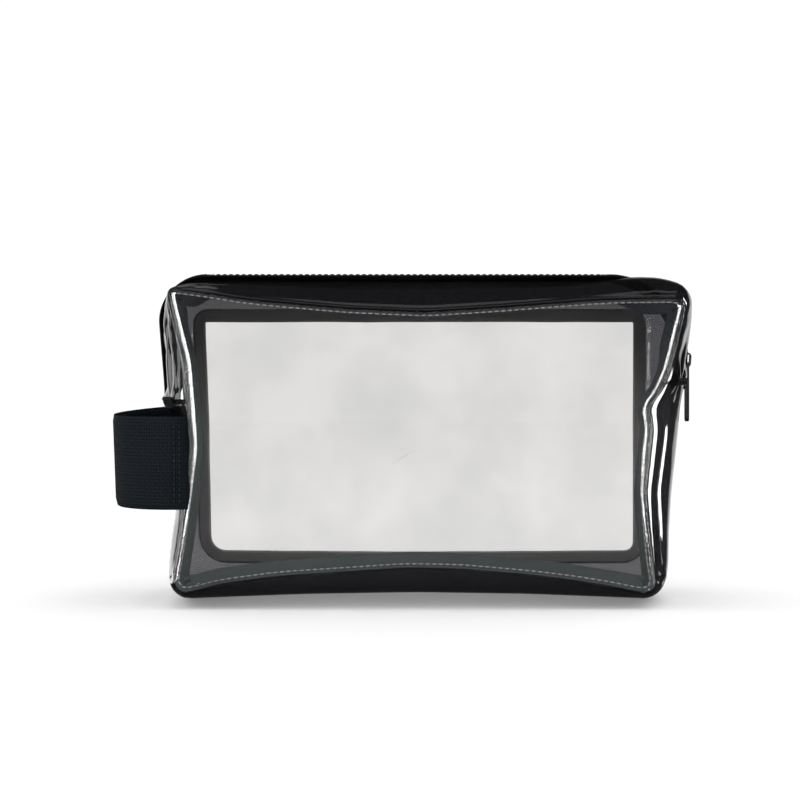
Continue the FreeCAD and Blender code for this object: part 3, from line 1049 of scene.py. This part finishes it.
def handle_frame():
    """The handle's middle line, its direction up the webbing and its direction off the bag."""
    flat = resampled(smooth_path(HANDLE_TURNS) * MM, 1.2 * MM)
    share = np.linspace(0, 1, len(flat))
    z = HANDLE_FRONT_Z + (HANDLE_BACK_Z - HANDLE_FRONT_Z) * share ** 2.4
    path = np.stack([flat[:, 0], flat[:, 1], z], 1)
    along = unit(np.gradient(path, axis=0))
    lean = (TOP_LEFT - FOOT_LEFT) / HEIGHT
    rise = unit(np.tile([lean, 0.0, 1.0], (len(path), 1)))
    rise = unit(rise - along * (rise * along).sum(1)[:, None])
    out = np.cross(rise, along)
    if out[0][1] > 0:
        out = -out
    return path, rise, out


def handle(webbing, thread):
    path, rise, out = handle_frame()
    section = []
    half, thick = WEBBING_WIDTH / 2, WEBBING_THICKNESS / 2
    for side in (1, -1):
        for j in range(SECTION_STEPS + 1):
            a = side * (half - 2 * half * j / SECTION_STEPS)
            edge = min(1.0, (half - abs(a)) / WEBBING_EDGE + 0.35)
            section.append((a, side * thick * edge))
    verts, faces, uvs = sweep(path, rise, out, section)
    made = piece("handle_strap", verts, faces, webbing, uvs)
    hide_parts("handle_webbing")
    heights = np.linspace(-half + HANDLE_STITCH_INSET, half - HANDLE_STITCH_INSET, HANDLE_STITCHES)
    for name, index in (("front", 4), ("back", len(path) - 6)):
        spot = path[index] + out[index] * (thick + 0.1 * MM)
        ups = np.tile(out[index], (len(heights), 1))
        for k in range(2):
            along = unit(path[index + 1] - path[index]) * (k * HANDLE_ROW_GAP)
            row = spot + along + rise[index] * heights[:, None]
            row_name = f"handle_stitches_{name}_{k}"
            tack = stitch_row(row_name, row, ups, HANDLE_STITCH_PITCH, thread)
            if k == 0:
                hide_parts("handle_tack_" + name)


# ------------------------------------------------------------------------------------------
# Stage
# ------------------------------------------------------------------------------------------

EYE = Vector((-9.6 * MM, -639 * MM, 82 * MM))
LENS, SENSOR = 68.9, 36
FLOOR_REACH, FLOOR_DROP = 5, 0.3 * MM
ROOM_STRENGTH, LESS_FOR_GLOSS, LESS_WHERE_SEEN = 1.13, 1.11, 0.1


def camera():
    data = bpy.data.cameras.new("camera")
    data.lens = LENS
    data.sensor_width = SENSOR
    data.clip_start = 0.01
    made = bpy.data.objects.new("camera", data)
    bpy.context.scene.collection.objects.link(made)
    made.location = EYE
    made.rotation_euler = (PI / 2, 0, 0)
    bpy.context.scene.camera = made


def floor():
    """A pale floor just under the bag, which glossy pieces don't mirror."""
    corners = [(-1, -1), (1, -1), (1, 1), (-1, 1)]
    mesh = bpy.data.meshes.new("floor")
    spots = [(x * FLOOR_REACH, y * FLOOR_REACH, -FLOOR_DROP) for x, y in corners]
    mesh.from_pydata(spots, [], [(0, 1, 2, 3)])
    mesh.materials.append(stage_finish())
    made = bpy.data.objects.new("floor", mesh)
    bpy.context.scene.collection.objects.link(made)
    made.visible_glossy = False


def soft_light(name, place, aim, width, height, power, shine_only=True):
    """A soft box. One for shine only is seen in glossy film and metal but lights nothing else."""
    data = bpy.data.lights.new(name, "AREA")
    data.shape = "RECTANGLE"
    data.size, data.size_y = width, height
    data.energy = power
    made = bpy.data.objects.new(name, data)
    bpy.context.scene.collection.objects.link(made)
    made.location = place
    direction = Vector(aim) - Vector(place)
    made.rotation_euler = direction.to_track_quat("-Z", "Y").to_euler()
    made.visible_diffuse = not shine_only
    made.visible_camera = False


def surroundings():
    """A pale room. Glossy pieces see it dim, so that their shine comes from the soft boxes."""
    studio = Finish(bpy.data.worlds.new("studio"))
    glossy = studio.node("ShaderNodeLightPath", {}, {}, "Is Glossy Ray")
    seen = studio.node("ShaderNodeLightPath", {}, {}, "Is Camera Ray")
    strength = ROOM_STRENGTH - glossy * LESS_FOR_GLOSS - seen * LESS_WHERE_SEEN
    pale = studio.node("ShaderNodeBackground", {}, {"Color": grey(1.0), "Strength": strength})
    studio.node("ShaderNodeOutputWorld", {}, {"Surface": pale})
    bpy.context.scene.world = studio.owner
    bpy.context.scene.view_settings.view_transform = "Standard"


def lights():
    soft_light("overhead", (0.0, -0.1, 1.4), (0, 0, 0), 1.2, 1.0, 3, shine_only=False)
    soft_light("left_box", (-0.75, -0.45, 0.43), (-0.08, 0, 0.4), 0.36, 1.1, 46)
    soft_light("right_box", (0.8, -0.4, -0.05), (0.08, 0, 0.07), 0.3, 1.5, 50)
    soft_light("left_side", (-1.25, 0.2, 0.25), (-0.1, 0, 0.1), 0.5, 0.7, 3.6)
    soft_light("left_back", (-0.9, 1.05, 0.15), (-0.1, 0, 0.1), 1.0, 0.7, 4.0)
    soft_light("right_rim", (0.62, 1.15, 0.15), (0.1, 0, 0.1), 0.7, 0.7, 1.5)
    soft_light("back_high", (-0.2, 1.2, 0.6), (-0.05, 0, 0.12), 1.4, 0.45, 0.4)


# ------------------------------------------------------------------------------------------
# Making the bag
# ------------------------------------------------------------------------------------------


def main():
    camera()
    floor()
    surroundings()
    lights()

    clear = clear_film()
    smoke = smoke_film("smoke_pvc", (0.385, 0.385, 0.4, 1))
    dark_smoke = smoke_film("dark_smoke_pvc", (0.3, 0.3, 0.315, 1))
    yarns = (0.6 * MM, 0.5 * MM, 0.12 * MM)
    # The front binding's colour turns lighter towards the foot: painted light.
    binding_cloth = woven(
        "binding_weave", (0.006, 0.007, 0.01, 1), (0.03, 0.033, 0.04, 1), *yarns, painted_light_colour=(0.085, 0.1, 0.1, 1)
    )
    # The back binding's cloth is a much lighter copy of the front's: painted light, making up for the dim
    # light inside the bag. It also turns lighter towards the foot.
    back_binding_painted_lighter = woven("back_binding_weave_painted_light", grey(0.05), grey(0.2, 0.02), *yarns, painted_light_colour=grey(0.42, 0.02))
    tape_cloth = woven("zipper_tape_weave", grey(0.004), grey(0.016), 0.5 * MM, 0.4 * MM, 0.1 * MM)
    tab_cloth = woven("end_tab_weave", grey(0.003), grey(0.012), 0.7 * MM, 0.6 * MM, 0.14 * MM)
    webbing = woven(
        "webbing_weave", (0.002, 0.003, 0.0045, 1), (0.01, 0.0145, 0.019, 1), 1.3 * MM, 1.0 * MM, 0.35 * MM
    )
    seam_thread = thread_finish("seam_thread_twist", grey(0.12), grey(0.4))
    dark_thread = thread_finish("handle_thread_twist", grey(0.003), grey(0.009))
    nylon, metal = nylon_finish(), gunmetal_finish()

    lower_film(smoke)
    for side in (FRONT, BACK):
        strip_film(side, dark_smoke)
        panel_film(side, clear)
        binding(side, binding_cloth if side == FRONT else back_binding_painted_lighter, seam_thread)
        zipper_tape(side, tape_cloth)
        zipper_coil(side, nylon)
        zipper_stitches(side, dark_thread)
    end_tab(RIGHT, RIGHT_JOINT, tab_cloth, dark_thread)
    end_tab(LEFT, LEFT_JOINT, tab_cloth, dark_thread)
    handle(webbing, dark_thread)
    for node in ("slider_body", "slider_crown", "pull_tab"):
        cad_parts[node].data.materials.clear()
        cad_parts[node].data.materials.append(metal)


main()
